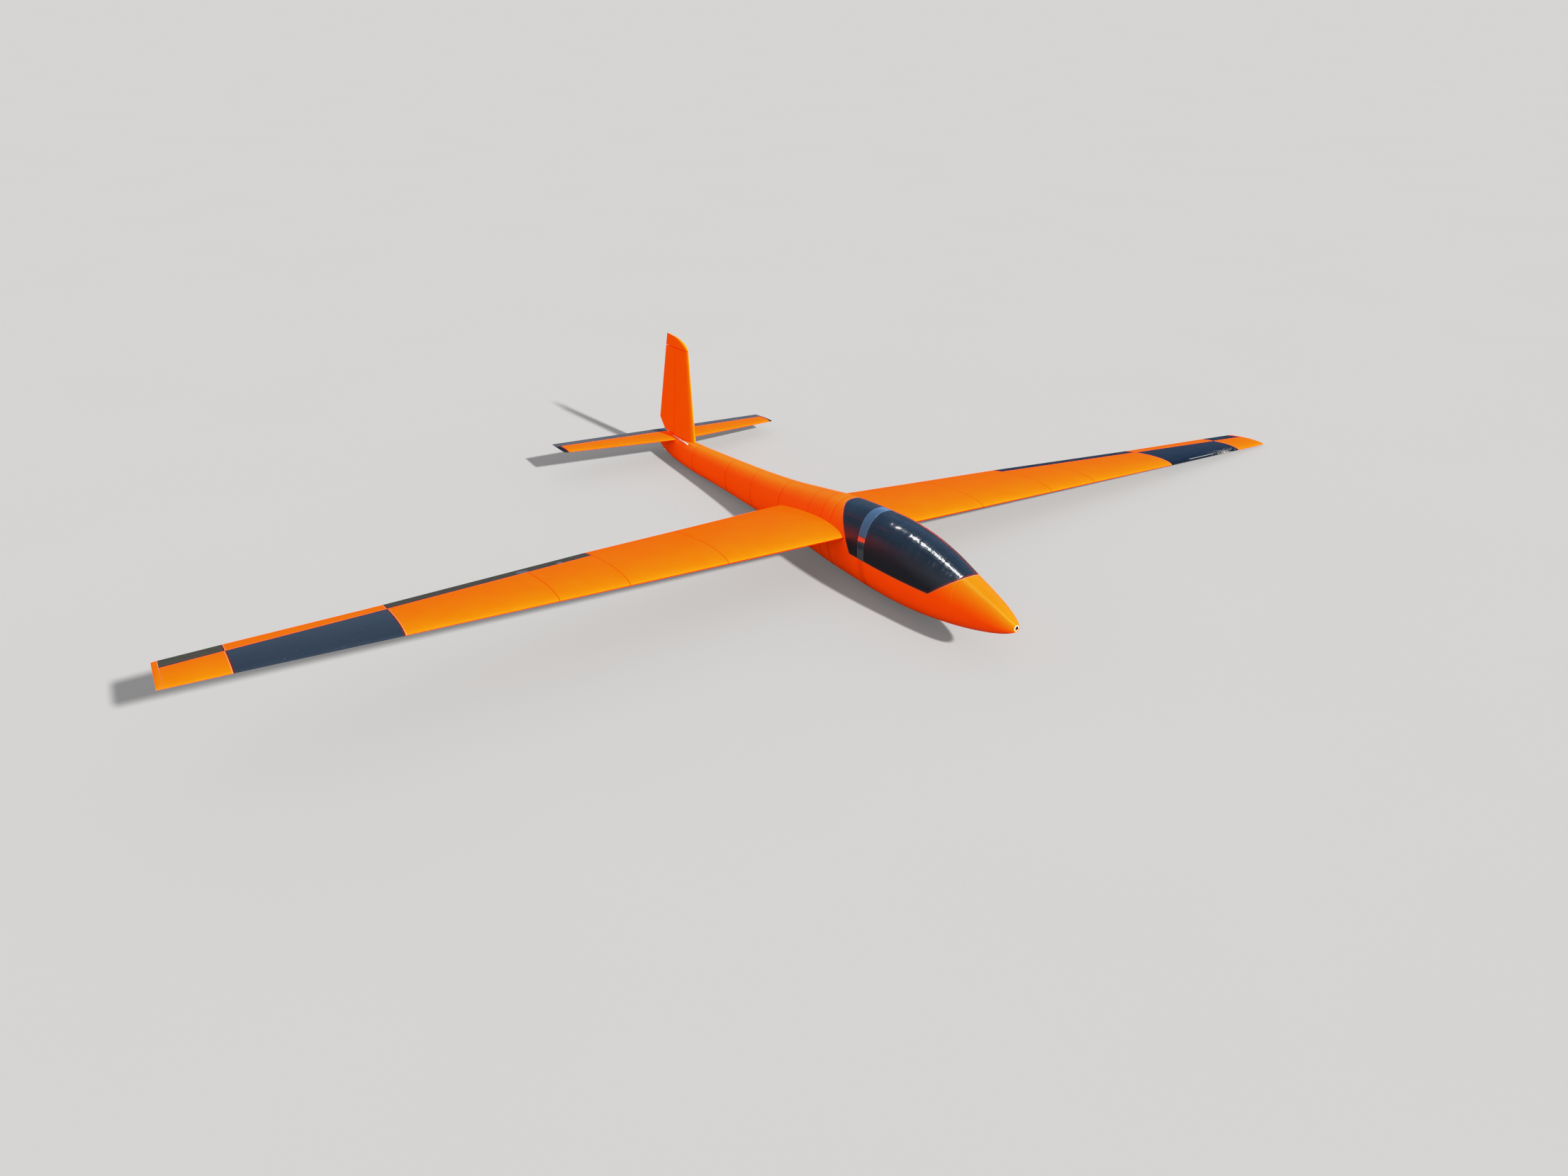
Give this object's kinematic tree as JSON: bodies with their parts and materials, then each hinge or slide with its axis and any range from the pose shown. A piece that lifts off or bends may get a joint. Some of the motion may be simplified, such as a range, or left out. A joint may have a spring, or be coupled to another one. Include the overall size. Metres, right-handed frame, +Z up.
{
  "type": "radio-controlled model sailplane glider",
  "caption": "Model sailplane with tapered two-colour wing, lift-off canopy hatch, cross tail and moving ailerons, elevator and rudder, resting on belly and one wing tip.",
  "frame": {"origin": "on the floor, under the middle of the glider's box, as it rests", "axes": "+X from tail to nose, +Y towards the left wing tip, +Z up from the floor; the airframe itself is 3.7 degrees nose up and 4.4 degrees left wing down in this frame"},
  "size_m": [1.0248, 2.0002, 0.2414],
  "materials": {
    "orange_shell": "satin orange printed shell with faint rings",
    "orange_film": "glossy orange covering",
    "navy_shell": "glossy navy",
    "charcoal_strip": "satin slate grey",
    "pale_rim": "pale rim",
    "tray_wood": "bare plywood",
    "battery_wrap": "black shrink wrap"
  },
  "bodies": {
    "root": {"nose_cone": "orange_shell", "nose_eyelet": "pale_rim", "pod_shell": "orange_shell", "equipment_tray": "tray_wood", "battery_block": "battery_wrap", "wing_seat": "orange_shell", "boom_front": "orange_shell", "boom_rear": "orange_shell", "tail_block": "orange_shell", "wing_root_left": "orange_shell", "wing_inner_left": "orange_film", "wing_middle_left": "orange_film", "wing_aileron_bay_left": "orange_film", "wing_outer_left": "orange_film", "servo_cover_left": "orange_film", "wing_navy_left": "navy_shell", "wing_tip_left": "orange_film", "wing_cap_left": "orange_film", "wing_root_right": "orange_shell", "wing_inner_right": "orange_film", "wing_middle_right": "orange_film", "wing_aileron_bay_right": "orange_film", "wing_outer_right": "orange_film", "servo_cover_right": "orange_film", "wing_navy_right": "navy_shell", "wing_tip_right": "orange_film", "wing_cap_right": "orange_film", "stabiliser_left": "orange_film", "stabiliser_right": "orange_film", "fin": "orange_film", "fin_cap": "orange_film"},
    "hatch": {"canopy_hatch": "navy_shell"},
    "aileron_left": {"aileron_left_inner": "charcoal_strip", "aileron_left_middle": "orange_film", "aileron_left_outer": "charcoal_strip"},
    "aileron_right": {"aileron_right_inner": "charcoal_strip", "aileron_right_middle": "orange_film", "aileron_right_outer": "charcoal_strip"},
    "elevator": {"elevator": "charcoal_strip"},
    "rudder": {"rudder": "orange_film"}
  },
  "joints": [
    {"name": "hatch_lift", "type": "slide", "parent": "root", "child": "hatch", "axis": [-0.0642, 0.0762, 0.995], "range_m": [0, 0.08]},
    {"name": "aileron_left_hinge", "type": "hinge", "parent": "root", "child": "aileron_left", "pos_m": [0.04719, 0.40897, 0.04016], "axis": [-0.1381, -0.9886, 0.0596], "range_deg": [-25, 20]},
    {"name": "aileron_right_hinge", "type": "hinge", "parent": "root", "child": "aileron_right", "pos_m": [0.04518, -0.40964, 0.10275], "axis": [0.1332, -0.9869, 0.0915], "range_deg": [-25, 20]},
    {"name": "elevator_hinge", "type": "hinge", "parent": "root", "child": "elevator", "pos_m": [-0.48289, -0.00208, 0.04475], "axis": [-0.0025, -0.9971, 0.0762], "range_deg": [-20, 20]},
    {"name": "rudder_hinge", "type": "hinge", "parent": "root", "child": "rudder", "pos_m": [-0.43836, -0.00049, 0.05386], "axis": [-0.0343, 0.0763, 0.9965], "range_deg": [-25, 25]}
  ]
}
